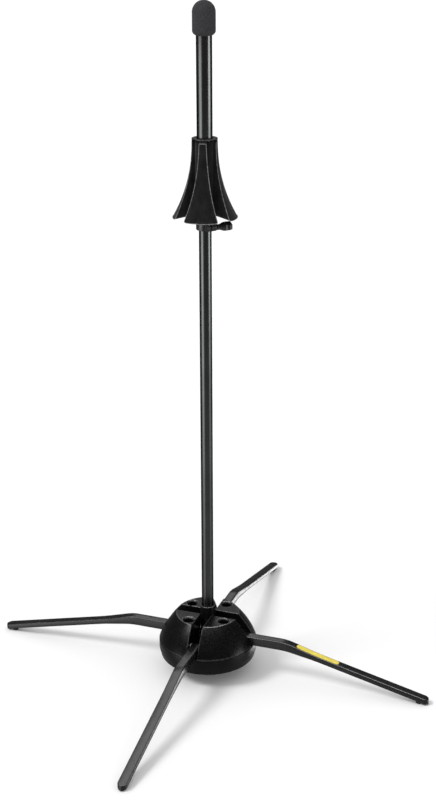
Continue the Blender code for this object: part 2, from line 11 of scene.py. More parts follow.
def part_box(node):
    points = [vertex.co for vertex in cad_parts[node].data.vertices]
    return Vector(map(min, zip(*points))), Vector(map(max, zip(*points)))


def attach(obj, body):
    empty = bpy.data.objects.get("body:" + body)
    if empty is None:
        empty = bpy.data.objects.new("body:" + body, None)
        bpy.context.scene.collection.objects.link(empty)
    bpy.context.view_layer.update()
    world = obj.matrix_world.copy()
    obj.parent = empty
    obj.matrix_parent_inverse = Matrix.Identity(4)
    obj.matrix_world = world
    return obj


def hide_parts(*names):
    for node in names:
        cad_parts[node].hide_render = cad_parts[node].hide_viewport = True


MM = 0.001
NEAR_AXIS = 0.01 * MM
CLEARANCE = 0.3 * MM

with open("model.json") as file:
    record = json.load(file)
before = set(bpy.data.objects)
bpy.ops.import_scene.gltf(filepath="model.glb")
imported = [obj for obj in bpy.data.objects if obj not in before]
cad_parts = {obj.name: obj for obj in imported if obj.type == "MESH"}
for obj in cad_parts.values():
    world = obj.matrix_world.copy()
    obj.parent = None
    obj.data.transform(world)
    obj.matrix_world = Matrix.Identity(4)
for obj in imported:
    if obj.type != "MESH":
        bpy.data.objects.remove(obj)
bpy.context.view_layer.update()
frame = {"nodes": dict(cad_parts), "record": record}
nodes = frame["nodes"]


# ---------------------------------------------------------------- camera and studio

LEG_TURN = math.radians(20.03)  # from the picture's right to leg 1, towards the viewer
CAMERA_BACK = 1.417
CAMERA_HEIGHT = 0.852
CAMERA_PITCH = math.radians(20.72)
CAMERA_YAW = math.radians(-0.49)
CAMERA_ROLL = math.radians(-0.21)
CAMERA_LENS = 65.43
CLIP_END = 60
FLOOR_SIZE = 60.0
WORLD_LIGHT = 0.8  # on matt surfaces
WORLD_SEEN = 1.2  # where the camera looks past the floor
SUN_STRENGTH = 1.6
SUN_ANGLE = math.radians(20)
SUN_AZIMUTH = -72
SUN_LEAN = 0.88  # the sun's distance to the side, against a height of 1

# What the glossy surfaces mirror: a dim room with strip lights and overhead boxes. Azimuths are in
# degrees from the camera's side, counter-clockwise from above. Heights are sines of the elevation.
ROOM_GLOW = 0.09
ROOM_GLOW_BELOW = 0.22  # added where a surface mirrors what lies below
ROOM_BELOW_FULL = -0.6
MIRRORED_BOXES = (
    # azimuth, half width, softness, (fades in from, full from, full to, fades out by), strength
    (-60, 10, 16, (-0.75, -0.1, 0.0, 0.1), 2.6),
    (76, 5, 14, (-0.34, 0.0, 0.02, 0.1), 5.6),
    (76, 8, 14, (-0.8, -0.2, 0.0, 0.1), 0.8),
    (140, 14, 14, (-0.52, -0.48, -0.45, -0.41), 4.5),
    (180, 5, 7, (0.36, 0.46, 0.6, 0.7), 1.2),
    (0, 70, 20, (0.88, 0.92, 0.97, 0.999), 14.0),
    (180, 100, 15, (0.74, 0.82, 1.1, 1.2), 2.3),
)


def make_camera():
    """The camera at the photo's viewpoint."""
    data = bpy.data.cameras.new("camera")
    data.lens = CAMERA_LENS
    data.sensor_width = 36
    data.clip_end = CLIP_END
    camera = bpy.data.objects.new("camera", data)
    bpy.context.scene.collection.objects.link(camera)
    turn = Matrix.Rotation(LEG_TURN, 4, "Z")
    place = Matrix.Translation((0, -CAMERA_BACK, CAMERA_HEIGHT))
    aim = Matrix.Rotation(CAMERA_YAW, 4, "Z") @ Matrix.Rotation(math.pi / 2 - CAMERA_PITCH, 4, "X")
    camera.matrix_world = turn @ place @ aim @ Matrix.Rotation(CAMERA_ROLL, 4, "Z")
    bpy.context.scene.camera = camera


def studio_direction(azimuth):
    """Horizontal direction at an azimuth from the camera's side, counter-clockwise from above."""
    angle = LEG_TURN - math.pi / 2 + math.radians(azimuth)
    return Vector((math.cos(angle), math.sin(angle), 0))


class Sky:
    """The world: even white light on matt surfaces, and a dim room with boxes of light for gloss."""

    def __init__(self):
        world = bpy.data.worlds.new("studio")
        bpy.context.scene.world = world
        world.use_nodes = True
        self.tree = world.node_tree
        self.tree.nodes.clear()
        self.direction = self.tree.nodes.new("ShaderNodeTexCoord").outputs["Generated"]
        output = self.tree.nodes.new("ShaderNodeOutputWorld")
        glossy = self.background(1.0)
        self.tree.links.new(self.room(), glossy.inputs["Strength"])
        rays = self.tree.nodes.new("ShaderNodeLightPath")
        light = self.chosen(rays.outputs["Is Glossy Ray"], self.background(WORLD_LIGHT), glossy)
        light = self.chosen(rays.outputs["Is Camera Ray"], light, self.background(WORLD_SEEN))
        self.tree.links.new(light.outputs[0], output.inputs["Surface"])

    def background(self, strength):
        made = self.tree.nodes.new("ShaderNodeBackground")
        made.inputs["Color"].default_value = (1, 1, 1, 1)
        made.inputs["Strength"].default_value = strength
        return made

    def chosen(self, test, otherwise, if_true):
        mix = self.tree.nodes.new("ShaderNodeMixShader")
        self.tree.links.new(test, mix.inputs[0])
        self.tree.links.new(otherwise.outputs[0], mix.inputs[1])
        self.tree.links.new(if_true.outputs[0], mix.inputs[2])
        return mix

    def maths(self, operation, *values):
        made = self.tree.nodes.new("ShaderNodeMath")
        made.operation = operation
        self.fill(made, values)
        return made.outputs[0]

    def vector_maths(self, operation, *values):
        made = self.tree.nodes.new("ShaderNodeVectorMath")
        made.operation = operation
        self.fill(made, values)
        return made.outputs["Value"] if operation == "DOT_PRODUCT" else made.outputs["Vector"]

    def fill(self, node, values):
        for socket, value in zip(node.inputs, values):
            if isinstance(value, bpy.types.NodeSocket):
                self.tree.links.new(value, socket)
            else:
                socket.default_value = value

    def rise(self, value, start, end):
        """Smoothly from 0 at start to 1 at end."""
        made = self.tree.nodes.new("ShaderNodeMapRange")
        made.interpolation_type = "SMOOTHSTEP"
        made.inputs["From Min"].default_value = start
        made.inputs["From Max"].default_value = end
        self.tree.links.new(value, made.inputs["Value"])
        return made.outputs["Result"]

    def room(self):
        height = self.vector_maths("DOT_PRODUCT", self.direction, (0, 0, 1))
        level = self.vector_maths("MULTIPLY", self.direction, (1, 1, 0))
        level = self.vector_maths("NORMALIZE", level)
        total = self.rise(height, 0.0, ROOM_BELOW_FULL)
        total = self.maths("MULTIPLY", total, ROOM_GLOW_BELOW)
        total = self.maths("ADD", total, ROOM_GLOW)
        for azimuth, half, soft, (low, full_low, full_high, high), strength in MIRRORED_BOXES:
            towards = self.vector_maths("DOT_PRODUCT", level, studio_direction(azimuth))
            outside, inside = (math.cos(math.radians(angle)) for angle in (half + soft, half))
            across = self.rise(towards, outside, inside)
            bottom = self.rise(height, low, full_low)
            top = self.rise(height, high, full_high)
            share = self.maths("MULTIPLY", self.maths("MULTIPLY", across, bottom), top)
            total = self.maths("ADD", total, self.maths("MULTIPLY", share, strength))
        return total


def make_studio():
    """A white floor in soft light from the side. Gloss mirrors the dim room in place of the floor."""
    Sky()
    bpy.ops.mesh.primitive_plane_add(size=FLOOR_SIZE, location=(0, 0, 0))
    floor = bpy.context.active_object
    floor.name = "floor"
    floor.visible_glossy = False
    floor.data.materials.append(floor_material())

    data = bpy.data.lights.new("soft_sun", "SUN")
    data.energy = SUN_STRENGTH
    data.angle = SUN_ANGLE
    sun = bpy.data.objects.new("soft_sun", data)
    bpy.context.scene.collection.objects.link(sun)
    fall = -SUN_LEAN * studio_direction(SUN_AZIMUTH) - Vector((0, 0, 1))
    sun.rotation_euler = fall.to_track_quat("-Z", "Y").to_euler()
    bpy.context.scene.view_settings.view_transform = "Standard"


# ---------------------------------------------------------------- materials

class Paint:
    """A Principled material with procedural colour, roughness and bump in object coordinates."""

    def __init__(self, name, colour, roughness, **sockets):
        self.material = bpy.data.materials.new(name)
        self.material.use_nodes = True
        self.tree = self.material.node_tree
        self.shader = self.tree.nodes["Principled BSDF"]
        self.shader.inputs["Base Color"].default_value = (*colour, 1)
        self.shader.inputs["Roughness"].default_value = roughness
        for socket, value in sockets.items():
            self.shader.inputs[socket.replace("_", " ")].default_value = value
        self.coordinates = self.tree.nodes.new("ShaderNodeTexCoord").outputs["Object"]
        self.normal = None

    def link(self, source, target):
        self.tree.links.new(source, target)

    def noise(self, size, detail=3.0, stretch=(1, 1, 1)):
        """Noise with features about size metres across. A stretch below 1 draws it out on an axis."""
        mapping = self.tree.nodes.new("ShaderNodeMapping")
        mapping.inputs["Scale"].default_value = stretch
        made = self.tree.nodes.new("ShaderNodeTexNoise")
        made.inputs["Scale"].default_value = 1 / size
        made.inputs["Detail"].default_value = detail
        self.link(self.coordinates, mapping.inputs["Vector"])
        self.link(mapping.outputs["Vector"], made.inputs["Vector"])
        return made.outputs["Fac"]

    def cells(self, size):
        made = self.tree.nodes.new("ShaderNodeTexVoronoi")
        made.inputs["Scale"].default_value = 1 / size
        self.link(self.coordinates, made.inputs["Vector"])
        return made.outputs["Distance"]

    def spread(self, value, low, high, start=0.3, end=0.7):
        """A value between start and end mapped onto low to high."""
        ramp = self.tree.nodes.new("ShaderNodeMapRange")
        ends = {"From Min": start, "From Max": end, "To Min": low, "To Max": high}
        for name, number in ends.items():
            ramp.inputs[name].default_value = number
        self.link(value, ramp.inputs["Value"])
        return ramp.outputs["Result"]

    def colour(self, value, low, high, start=0.3, end=0.7):
        """Blends the base colour from low to high. Sockets 6, 7 and 2 are the Mix node's colours."""
        mix = self.tree.nodes.new("ShaderNodeMix")
        mix.data_type = "RGBA"
        mix.inputs[6].default_value = (*low, 1)
        mix.inputs[7].default_value = (*high, 1)
        self.link(self.spread(value, 0, 1, start, end), mix.inputs[0])
        self.link(mix.outputs[2], self.shader.inputs["Base Color"])

    def roughness(self, value, low, high, start=0.3, end=0.7):
        self.link(self.spread(value, low, high, start, end), self.shader.inputs["Roughness"])

    def bump(self, value, strength, distance):
        """Adds a layer of relief, distance metres deep."""
        made = self.tree.nodes.new("ShaderNodeBump")
        made.inputs["Strength"].default_value = strength
        made.inputs["Distance"].default_value = distance
        self.link(value, made.inputs["Height"])
        if self.normal:
            self.link(self.normal, made.inputs["Normal"])
        self.normal = made.outputs["Normal"]
        self.link(self.normal, self.shader.inputs["Normal"])


def floor_material():
    paint = Paint("studio_floor", (0.9, 0.9, 0.9), 0.9, Specular_IOR_Level=0.0)
    paint.colour(paint.noise(0.6), (0.895, 0.895, 0.895), (0.905, 0.905, 0.905))
    return paint.material


def tube_material():
    """Gunmetal-black plating over a drawn tube: faint lengthwise lines, and dark at grazing angles."""
    dark, light = (0.1, 0.106, 0.103), (0.128, 0.135, 0.131)
    paint = Paint("gunmetal_tube", light, 0.24, Metallic=1.0, Specular_Tint=(0, 0, 0, 1))
    paint.colour(paint.noise(30 * MM), dark, light)
    paint.roughness(paint.noise(1.2 * MM, 2, (1, 1, 0.02)), 0.2, 0.28)
    paint.bump(paint.noise(1.2 * MM, 2, (1, 1, 0.02)), 0.1, 0.015 * MM)
    paint.bump(paint.noise(1.6 * MM), 0.06, 0.02 * MM)
    return paint.material


def leg_material():
    """Glossy black powder coat: orange peel and faint handling marks."""
    paint = Paint("gloss_black_leg", (0.006, 0.006, 0.0065), 0.22, Specular_IOR_Level=0.6)
    paint.colour(paint.noise(18 * MM), (0.004, 0.004, 0.0045), (0.009, 0.009, 0.0095))
    paint.roughness(paint.noise(5 * MM, 4), 0.18, 0.3)
    paint.bump(paint.noise(1.3 * MM, 2), 0.08, 0.02 * MM)
    return paint.material


def plastic_material(name, colour, roughness, shine, relief):
    """Moulded plastic with a fine spark-eroded grain."""
    paint = Paint(name, colour, roughness, Specular_IOR_Level=shine)
    paint.colour(paint.noise(9 * MM), colour, tuple(1.5 * c for c in colour))
    paint.roughness(paint.noise(3 * MM), roughness - 0.06, roughness + 0.08)
    paint.bump(paint.noise(0.9 * MM, 2), relief, 0.03 * MM)
    return paint.material


def flock_material():
    """Short black pile: no gloss, a soft sheen at grazing angles and brushed patches."""
    paint = Paint("black_flock", (0.008, 0.008, 0.009), 1.0, Specular_IOR_Level=0.08,
                  Sheen_Weight=0.22, Sheen_Roughness=0.5)
    paint.shader.inputs["Sheen Tint"].default_value = (0.45, 0.45, 0.48, 1)
    paint.colour(paint.noise(5 * MM, 4, (1, 1, 0.5)), (0.005, 0.005, 0.0055), (0.013, 0.013, 0.014))
    paint.bump(paint.noise(0.3 * MM, 3), 0.5, 0.12 * MM)
    paint.bump(paint.noise(4 * MM, 3, (1, 1, 0.5)), 0.25, 0.3 * MM)
    return paint.material


def painted_highlight_seam_material():
    """A pale line along a petal's rolled edge: painted highlight where the roll catches the light."""
    paint = Paint("painted_highlight_flock_edge", (0.1, 0.1, 0.1), 0.8, Specular_IOR_Level=0.25,
                  Sheen_Weight=0.3)
    paint.colour(paint.noise(2.0 * MM, 4), (0.04, 0.04, 0.041), (0.26, 0.26, 0.26))
    paint.bump(paint.noise(0.3 * MM), 0.4, 0.08 * MM)
    return paint.material


def foam_material():
    """Dark grey closed-cell foam with open pores at its skin."""
    paint = Paint("grey_foam", (0.04, 0.04, 0.042), 0.95, Specular_IOR_Level=0.15)
    paint.colour(paint.noise(1.5 * MM, 4), (0.028, 0.028, 0.03), (0.046, 0.046, 0.049))
    paint.bump(paint.cells(0.5 * MM), 0.5, 0.14 * MM)
    paint.bump(paint.noise(3.5 * MM), 0.25, 0.3 * MM)
    return paint.material


def steel_material():
    """Dull zinc plating, darker than bare zinc: painted shade, so the screw heads stay dark in their
    recesses.
    """
    paint = Paint("zinc_steel", (0.14, 0.14, 0.145), 0.4, Metallic=1.0)
    paint.colour(paint.noise(2 * MM), (0.09, 0.09, 0.095), (0.17, 0.17, 0.175))
    paint.roughness(paint.noise(0.8 * MM), 0.34, 0.5)
    paint.bump(paint.noise(0.5 * MM), 0.15, 0.02 * MM)
    return paint.material


def nylon_material():
    """Uncoloured, slightly waxy nylon."""
    paint = Paint("natural_nylon", (0.55, 0.55, 0.53), 0.45)
    paint.colour(paint.noise(2 * MM), (0.48, 0.48, 0.46), (0.58, 0.58, 0.56))
    paint.roughness(paint.noise(1 * MM), 0.38, 0.52)
    paint.bump(paint.noise(0.6 * MM), 0.15, 0.02 * MM)
    return paint.material


def label_material():
    """Plain yellow film, slightly faded in patches."""
    paint = Paint("plain_yellow_film", (0.8, 0.66, 0.08), 0.35, Coat_Weight=0.25,
                  Coat_Roughness=0.15)
    paint.colour(paint.noise(4 * MM, 4), (0.7, 0.56, 0.06), (0.86, 0.72, 0.13))
    paint.bump(paint.noise(2.5 * MM), 0.1, 0.05 * MM)
    return paint.material


def rubber_material():
    """Matt black rubber."""
    paint = Paint("black_rubber", (0.018, 0.018, 0.018), 0.85, Specular_IOR_Level=0.3)
    paint.colour(paint.noise(3 * MM), (0.012, 0.012, 0.012), (0.028, 0.028, 0.027))
    paint.bump(paint.noise(0.5 * MM), 0.3, 0.05 * MM)
    return paint.material


MATERIALS = {
    "tube_black": tube_material(),
    "leg_black": leg_material(),
    # name, colour, roughness, shine, relief
    "base_plastic": plastic_material("black_base_plastic", (0.003, 0.0027, 0.003), 0.28, 0.2, 0.02),
    "crown_plastic": plastic_material("satin_crown_plastic", (0.012, 0.012, 0.0125), 0.3, 0.5, 0.1),
    "clamp_plastic": plastic_material("satin_clamp_plastic", (0.01, 0.0105, 0.01), 0.26, 0.7, 0.1),
    "flock": flock_material(),
    "foam": foam_material(),
    "rubber": rubber_material(),
    "nylon": nylon_material(),
    "zinc_steel": steel_material(),
    "label": label_material(),
}
# Pale beads for the petals' edges: their colour is painted highlight.
PAINTED_SEAM_HIGHLIGHT = painted_highlight_seam_material()
# For the dome's rounded edges: a paler, shinier plastic whose pale colour is painted highlight.
PAINTED_EDGE_HIGHLIGHT = plastic_material("painted_highlight_base_edge", (0.05, 0.05, 0.052), 0.26, 0.8, 0.05)


# ---------------------------------------------------------------- mesh helpers

def solid(name, points, faces):
    """An object with a closed mesh whose faces all look outwards."""
    mesh = bpy.data.meshes.new(name)
    mesh.from_pydata([tuple(p) for p in points], [], faces)
    bm = bmesh.new()
    bm.from_mesh(mesh)
    bmesh.ops.recalc_face_normals(bm, faces=bm.faces)
    bm.to_mesh(mesh)
    bm.free()
    made = bpy.data.objects.new(name, mesh)
    bpy.context.scene.collection.objects.link(made)
    return made


def piece(name, points, faces, slot, body, replaced=None, material=None, sharp=40):
    """A closed mesh that rides a body, in the record's slot, and stands for a CAD node if named."""
    made = solid(name, points, faces)
    made.data.shade_smooth()
    made.data.set_sharp_from_angle(angle=math.radians(sharp))
    made.data.materials.append(material or MATERIALS[slot])
    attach(made, body)
    if replaced:
        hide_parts(replaced)
    return made


def outer_radius(node):
    """The radius of a round CAD node that stands on the mast's axis."""
    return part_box(node)[1].x


def grid_faces(rows, columns, closed_rows=False):
    """Quads over a grid of points whose columns run round in a ring."""
    faces = []
    for row in range(rows if closed_rows else rows - 1):
        following = (row + 1) % rows
        for column in range(columns):
            after = (column + 1) % columns
            faces.append((row * columns + column, row * columns + after,
                          following * columns + after, following * columns + column))
    return faces


def turned(profile, sides, wave=None):
    """A ring turned from a closed (r, z) profile, as points and faces. wave(r, z, angle) gives a new z."""
    points = []
    for r, z in profile:
        for side in range(sides):
            angle = 2 * math.pi * side / sides
            height = wave(r, z, angle) if wave else z
            points.append((r * math.cos(angle), r * math.sin(angle), height))
    return points, grid_faces(len(profile), sides, closed_rows=True)


def rounded(corners, steps=4):
    """A closed outline from (x, y, radius) corners, each replaced by an arc of that radius."""
    outline = []
    for index, (x, y, radius) in enumerate(corners):
        here = Vector((x, y))
        before = (Vector(corners[index - 1][:2]) - here).normalized()
        after = (Vector(corners[(index + 1) % len(corners)][:2]) - here).normalized()
        if radius == 0:
            outline.append((x, y))
            continue
        half = before.angle(after) / 2
        centre = here + (before + after).normalized() * radius / math.sin(half)
        start = here + before * radius / math.tan(half) - centre
        end = here + after * radius / math.tan(half) - centre
        sweep = math.atan2(start.x * end.y - start.y * end.x, start.dot(end))
        for step in range(steps + 1):
            outline.append(tuple(centre + Matrix.Rotation(sweep * step / steps, 2) @ start))
    return outline


def arc(centre_x, centre_y, radius, start, end, steps):
    """Points on an arc, angles in degrees."""
    angles = [math.radians(start + (end - start) * step / steps) for step in range(steps + 1)]
    return [(centre_x + radius * math.cos(a), centre_y + radius * math.sin(a)) for a in angles]


def lofted(sections):
    """Points and faces through closed sections of equal length, capped at both ends."""
    count = len(sections[0])
    points = [point for section in sections for point in section]
    faces = grid_faces(len(sections), count)
    faces.append(tuple(range(count)))
    faces.append(tuple(range((len(sections) - 1) * count, len(sections) * count)))
    return points, faces


def smooth_step(t):
    t = min(max(t, 0), 1)
    return t * t * (3 - 2 * t)


# ---------------------------------------------------------------- base

DOME_R = 53.4 * MM
DOME_TOP_R = 34.4 * MM
DOME_BULGE = 2.2 * MM
DOME_STEPS = 12
DOME_EDGE = 0.5 * MM
SCREW_DEPTH = 9.5 * MM  # from the dome's flat top to the screw heads
SLOT_HALF = 6.4 * MM
SLOT_REACH = 70 * MM
COLUMN_R = 8.3 * MM
COLUMN_FOOT_R = 12.4 * MM
COLUMN_FOOT_TOP = 50 * MM
COLUMN_FOOT_TAPER = 2 * MM
COLUMN_FOOT_SHOULDER = 1.5 * MM
RECESS_R = 5.5 * MM
RECESS_FLOOR = 54 * MM
RECESS_RIM = 1.3 * MM
TRAY_FOOT_R = 52 * MM
TRAY_FOOT_ROUND = 2 * MM
TRAY_WALL = 2.6 * MM
TRAY_PLATE = 3 * MM
TRAY_BORE = 3.4 * MM
TRAY_STEP = 0.5 * MM
TRAY_STEP_FROM = 7 * MM
TRAY_STEP_TO = 10 * MM
TRAY_EDGE_ROUND = 0.8 * MM
BASE_SIDES = 192
RECESS_SIDES = 64


def turned_solid(name, profile, sides):
    """A solid turned from an open (r, z) profile whose first and last points lie beside the axis."""
    angles = [2 * math.pi * side / sides for side in range(sides)]
    rings = [[(r * math.cos(a), r * math.sin(a), z) for a in angles] for r, z in profile]
    return solid(name, *lofted(rings))


def carve(target, steps):
    """The target's mesh after a row of (helper, operation) Booleans. The helpers are deleted."""
    for helper, operation in steps:
        boolean = target.modifiers.new(helper.name, "BOOLEAN")
        boolean.object = helper
        boolean.operation = operation
        boolean.solver = "EXACT"
        boolean.material_mode = "TRANSFER"
    graph = bpy.context.evaluated_depsgraph_get()
    mesh = bpy.data.meshes.new_from_object(target.evaluated_get(graph))
    target.modifiers.clear()
    target.data = mesh
    for helper, _ in steps:
        bpy.data.objects.remove(helper)


def soften(target, width, segments=3):
    """Rounds the sharp edges and keeps the broad faces looking flat. Gives back the bevel."""
    target.data.shade_smooth()
    weld = target.modifiers.new("weld", "WELD")
    weld.merge_threshold = 0.01 * MM
    bevel = target.modifiers.new("round_edges", "BEVEL")
    bevel.width = width
    bevel.segments = segments
    bevel.limit_method = "ANGLE"
    bevel.angle_limit = math.radians(32)
    normals = target.modifiers.new("flat_faces", "WEIGHTED_NORMAL")
    normals.keep_sharp = True
    return bevel


def slot_helper(along_x, low, high):
    """A bar that cuts two opposite leg slots, along X or along Y."""
    x, y = (SLOT_REACH, SLOT_HALF) if along_x else (SLOT_HALF, SLOT_REACH)
    ends = [[(x, y, z), (-x, y, z), (-x, -y, z), (x, -y, z)] for z in (low, high)]
    return solid("slot_helper", *lofted(ends))


def recess_helper(number, top):
    """The countersunk recess over a dome screw."""
    low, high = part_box(f"dome_screw_{number}")
    helper = turned_solid("recess_helper", [
        (NEAR_AXIS, RECESS_FLOOR), (RECESS_R, RECESS_FLOOR), (RECESS_R, top - RECESS_RIM),
        (RECESS_R + 2 * RECESS_RIM, top + RECESS_RIM), (NEAR_AXIS, top + RECESS_RIM),
    ], RECESS_SIDES)
    helper.location = ((low.x + high.x) / 2, (low.y + high.y) / 2, 0)
    return helper


def column_helper(low, high):
    """The column round the lower tube, with its wider foot."""
    return turned_solid("column_helper", [
        (NEAR_AXIS, low), (COLUMN_FOOT_R, low), (COLUMN_FOOT_R - COLUMN_FOOT_TAPER, COLUMN_FOOT_TOP),
        (COLUMN_R, COLUMN_FOOT_TOP + COLUMN_FOOT_SHOULDER), (COLUMN_R, high), (NEAR_AXIS, high),
    ], BASE_SIDES // 2)


def bore_helper(high):
    """The socket that the lower tube stands in."""
    bore_r = outer_radius("lower_tube") + CLEARANCE
    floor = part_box("lower_tube")[0].z - CLEARANCE
    return turned_solid("bore_helper", [
        (NEAR_AXIS, floor), (bore_r, floor), (bore_r, high + MM), (NEAR_AXIS, high + MM),
    ], BASE_SIDES // 2)


def make_dome():
    """The domed upper half of the base, with its slots, column and recesses."""
    low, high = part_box("base_dome")
    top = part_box("dome_screw_1")[1].z + SCREW_DEPTH
    sides = []
    for step in range(DOME_STEPS + 1):
        t = step / DOME_STEPS
        r = DOME_R + (DOME_TOP_R - DOME_R) * t + DOME_BULGE * 4 * t * (1 - t)
        sides.append((r, low.z + (top - low.z) * t))
    outline = [(NEAR_AXIS, low.z)] + sides + [(NEAR_AXIS, top)]
    dome = turned_solid("base_dome_skin", outline, BASE_SIDES)
    steps = [(slot_helper(along_x, low.z - MM, top + MM), "DIFFERENCE") for along_x in (False, True)]
    steps.append((column_helper(low.z, high.z), "UNION"))
    steps += [(recess_helper(number, top), "DIFFERENCE") for number in range(1, 5)]
    steps.append((bore_helper(high.z), "DIFFERENCE"))
    dome.data.materials.append(MATERIALS["base_plastic"])
    dome.data.materials.append(PAINTED_EDGE_HIGHLIGHT)
    for helper, _ in steps:
        helper.data.materials.append(MATERIALS["base_plastic"])
    carve(dome, steps)
    bevel = soften(dome, DOME_EDGE)
    # The Booleans leave short edges, and a clamped bevel would shrink to nothing on their account
    bevel.use_clamp_overlap = False
    # The rounded edges take the paler plastic, a painted highlight along every edge.
    bevel.material = 1
    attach(dome, "base")
    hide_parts("base_dome")


def make_tray():
    """A cup, open below, with a round foot, straight sides and a small step at the parting line."""
    low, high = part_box("base_tray")
    r = outer_radius("base_tray")
    inner = TRAY_FOOT_R - TRAY_WALL
    under_plate = high.z - TRAY_PLATE
    profile = [(inner, low.z)]
    profile += arc(TRAY_FOOT_R - TRAY_FOOT_ROUND, low.z + TRAY_FOOT_ROUND, TRAY_FOOT_ROUND, -90, 0, 6)
    profile += [(r - TRAY_STEP, low.z + TRAY_STEP_FROM), (r, low.z + TRAY_STEP_TO)]
    profile += arc(r - TRAY_EDGE_ROUND, high.z - TRAY_EDGE_ROUND, TRAY_EDGE_ROUND, 0, 90, 5)
    profile += [(TRAY_BORE, high.z), (TRAY_BORE, under_plate), (inner, under_plate)]
    piece("base_tray_skin", *turned(profile, BASE_SIDES), "base_plastic", "base", "base_tray")


# ---------------------------------------------------------------- mast

TUBE_WALL = 1.0 * MM
TUBE_EDGE_ROUND = 0.35 * MM
TUBE_BORE_ROUND = 0.2 * MM
NOSE_BOTTOM_ROUND = 4.6 * MM
PETAL_TURN = math.radians(11.2)  # from leg 1 to the middle of petal 1
PETAL_TOP_R = 12.7 * MM
PETAL_RIM_R = 32.4 * MM
PETAL_FLARE = 2.25
PETAL_HALF_TOP = math.radians(18)
PETAL_HALF_RIM = math.radians(33)
PETAL_WALL = 1.6 * MM
PETAL_EDGE_ROUND = 1.3 * MM
PETAL_CORNER = 3.5 * MM
PETAL_CORNER_DEPTH = 0.6  # of the corner's width
PETAL_RIM_RISE = 3.0 * MM
PETAL_TOP_GAP = 0.15 * MM
LEAF_STEPS = 8
EDGE_STEPS = 4
FLANGE_STEPS = 4
# Where a petal's seam runs, counted along its section: on the roll at the left and right edges
SEAM_LEFT = FLANGE_STEPS + EDGE_STEPS // 2
SEAM_RIGHT = FLANGE_STEPS + EDGE_STEPS + 2 * LEAF_STEPS + 1
BEAD_R = 0.34 * MM
BEAD_SIDES = 6
CROWN_LIP = 1.2 * MM
CROWN_TOP_ROUND = 0.5 * MM
CROWN_FOOT_ROUND = 0.2 * MM
CROWN_SCALLOP = 0.5 * MM
ROUND_SIDES = 96


def make_tubes():
    """Both tubes, with rounded ends."""
    for name, body in (("upper_tube", "mast"), ("lower_tube", "base")):
        low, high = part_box(name)
        r = outer_radius(name)
        bore = r - TUBE_WALL
        profile = rounded([
            (bore, low.z, TUBE_BORE_ROUND), (r, low.z, TUBE_EDGE_ROUND),
            (r, high.z, TUBE_EDGE_ROUND), (bore, high.z, TUBE_BORE_ROUND),
        ])
        piece(f"{name}_skin", *turned(profile, ROUND_SIDES), "tube_black", body, name)


def make_nose():
    """A foam sleeve with a domed top, closed over the end of the upper tube."""
    low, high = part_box("foam_nose")
    r = outer_radius("foam_nose")
    bore = outer_radius("upper_tube") + CLEARANCE
    inner_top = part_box("upper_tube")[1].z + CLEARANCE
    profile = [(bore, low.z)]
    profile += arc(r - NOSE_BOTTOM_ROUND, low.z + NOSE_BOTTOM_ROUND, NOSE_BOTTOM_ROUND, -88, 0, 12)
    profile += arc(0, high.z - r, r, 4, 89.5, 26)
    profile += [(0.1 * MM, inner_top), (bore, inner_top)]
    nose = piece("foam_nose_skin", *turned(profile, ROUND_SIDES), "foam", "mast", "foam_nose")


def make_crown():
    """A ring whose lower edge is scalloped upwards between the petals."""
    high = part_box("crown_ring")[1]
    low_z = high.z - CROWN_LIP
    r = outer_radius("crown_ring")
    bore = outer_radius("upper_tube") + CLEARANCE
    profile = rounded([
        (bore, low_z, 0), (r, low_z, CROWN_FOOT_ROUND),
        (r, high.z, CROWN_TOP_ROUND), (bore, high.z, CROWN_FOOT_ROUND),
    ])

    def scallop(radius, z, angle):
        between = 0.5 - 0.5 * math.cos(4 * (angle - PETAL_TURN))
        share = (high.z - z) / CROWN_LIP
        return z + CROWN_SCALLOP * between ** 2 * share

    ring = turned(profile, ROUND_SIDES, scallop)
    piece("crown_skin", *ring, "crown_plastic", "mast", "crown_ring")


